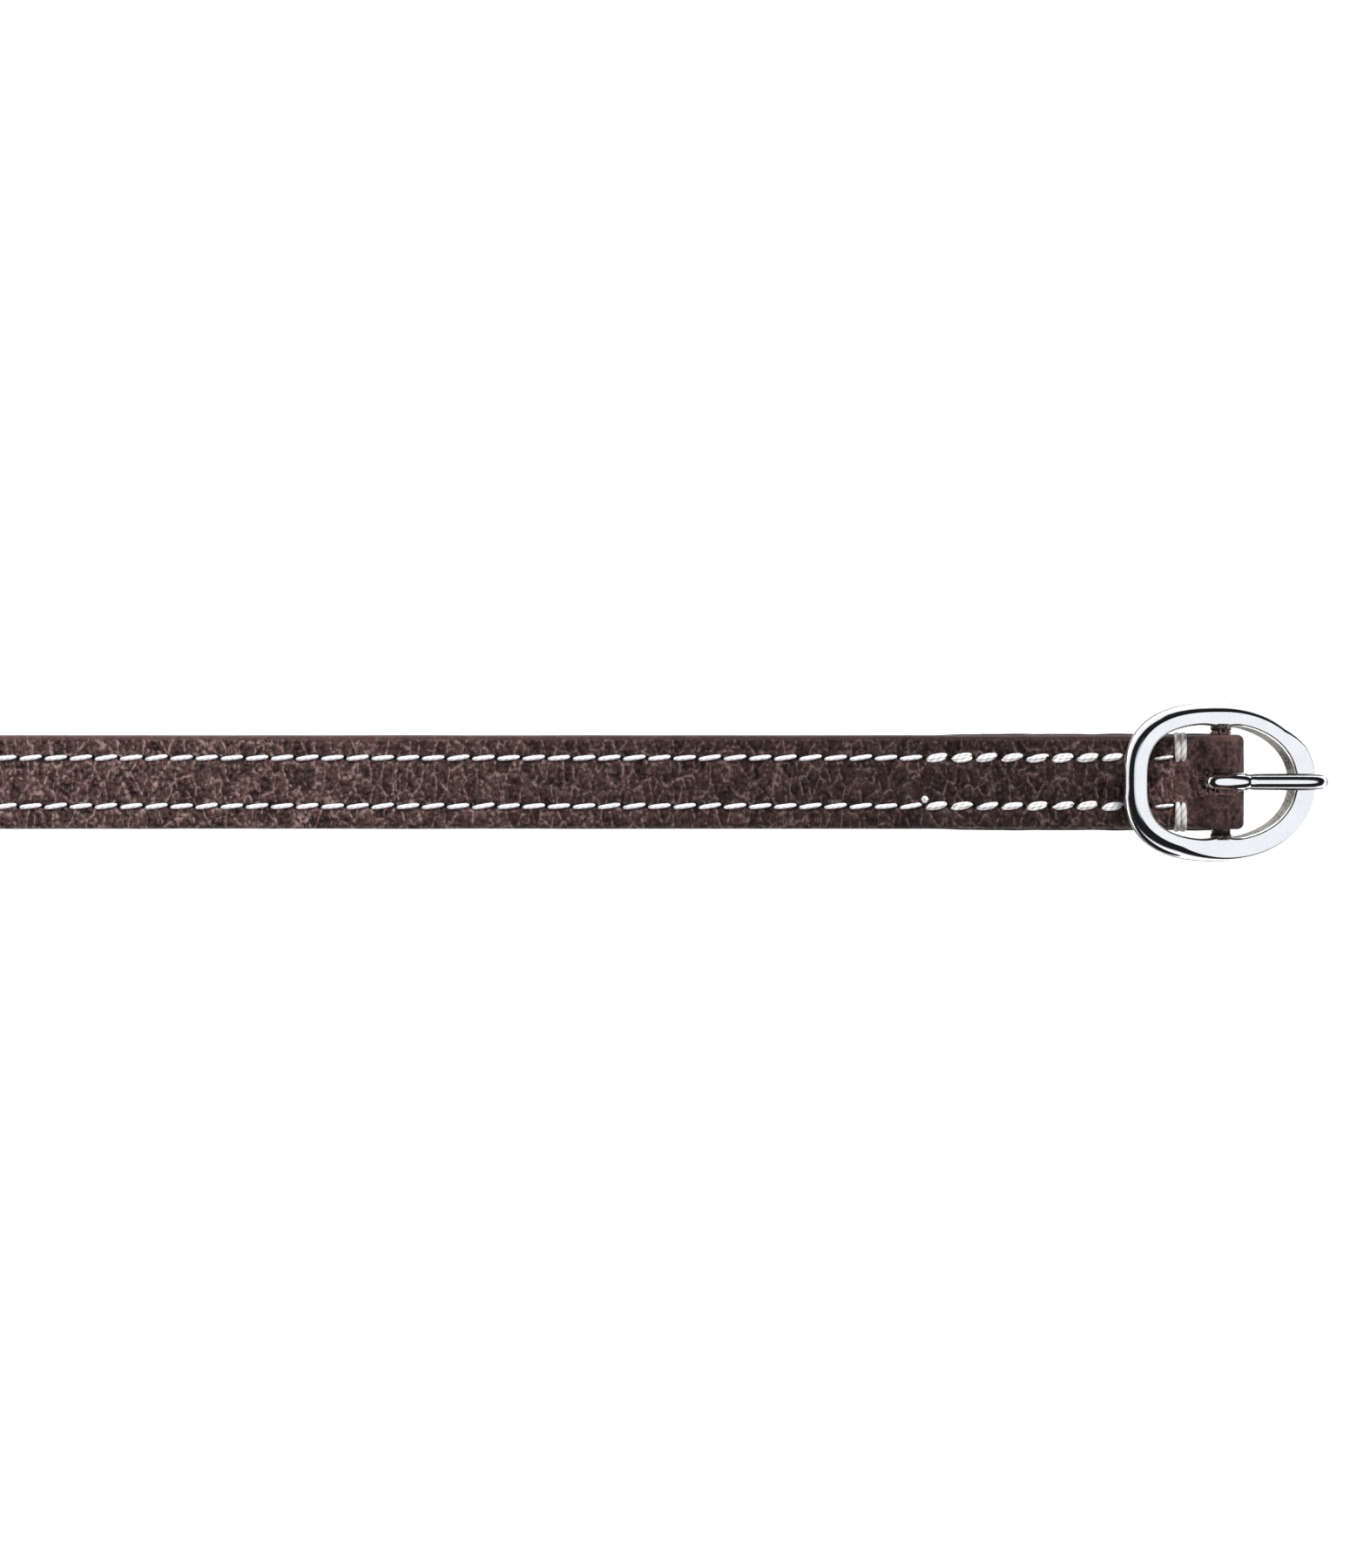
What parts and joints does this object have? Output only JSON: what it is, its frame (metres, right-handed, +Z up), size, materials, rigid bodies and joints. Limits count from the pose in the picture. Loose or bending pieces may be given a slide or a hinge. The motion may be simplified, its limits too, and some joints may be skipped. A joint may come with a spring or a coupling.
{
  "type": "buckled leather strap of a martingale",
  "caption": "Narrow stitched leather strap of a horse's martingale with an oval centre-bar buckle and a punched billet end.",
  "frame": {"origin": "on the resting surface, below the middle of the strap laid out at full length", "axes": "+X along the strap towards the buckle, +Y across the strap, +Z up out of the face leather"},
  "size_m": [0.3556, 0.0236, 0.007],
  "materials": {
    "face_leather": "grained, low sheen",
    "lining_leather": "smooth, matt",
    "core_web": "woven, matt",
    "thread": "waxed two-ply",
    "bright_metal": "polished cast, bright plated"
  },
  "bodies": {
    "strap_run": {"run_face": "face_leather", "run_core": "core_web", "run_lining": "lining_leather", "run_thread_top": "thread", "run_thread_under": "thread"},
    "buckle_end": {"bend_face": "face_leather", "bend_core": "core_web", "bend_lining": "lining_leather", "bend_thread_top": "thread", "bend_thread_under": "thread", "folded_face": "face_leather", "folded_thread_top": "thread", "folded_thread_under": "thread", "edge_wrap_left": "thread", "edge_wrap_right": "thread"},
    "buckle": {"buckle_frame": "bright_metal"},
    "tongue": {"buckle_tongue": "bright_metal"},
    "billet_end": {"far_bend_face": "face_leather", "far_bend_core": "core_web", "far_bend_lining": "lining_leather", "far_bend_thread_top": "thread", "far_bend_thread_under": "thread", "billet_face": "face_leather", "billet_core": "core_web", "billet_lining": "lining_leather", "billet_thread_top": "thread", "billet_thread_under": "thread"}
  },
  "joints": [
    {"name": "buckle_end_bend", "type": "hinge", "parent": "strap_run", "child": "buckle_end", "pos_m": [0.1067, 0, 0.00175], "axis": [0, -1, 0], "range_deg": [0, 75], "deforming": ["bend_face", "bend_core", "bend_lining", "bend_thread_top", "bend_thread_under"]},
    {"name": "frame_tilt", "type": "hinge", "parent": "buckle_end", "child": "buckle", "pos_m": [0.16218, 0, 0.00348], "axis": [0, 1, 0], "range_deg": [0, 70]},
    {"name": "tongue_swing", "type": "hinge", "parent": "buckle", "child": "tongue", "pos_m": [0.16218, 0, 0.00348], "axis": [0, -1, 0], "range_deg": [0, 105]},
    {"name": "billet_end_bend", "type": "hinge", "parent": "strap_run", "child": "billet_end", "pos_m": [-0.03955, 0, 0.00175], "axis": [0, 1, 0], "range_deg": [0, 75], "deforming": ["far_bend_face", "far_bend_core", "far_bend_lining", "far_bend_thread_top", "far_bend_thread_under"]}
  ]
}
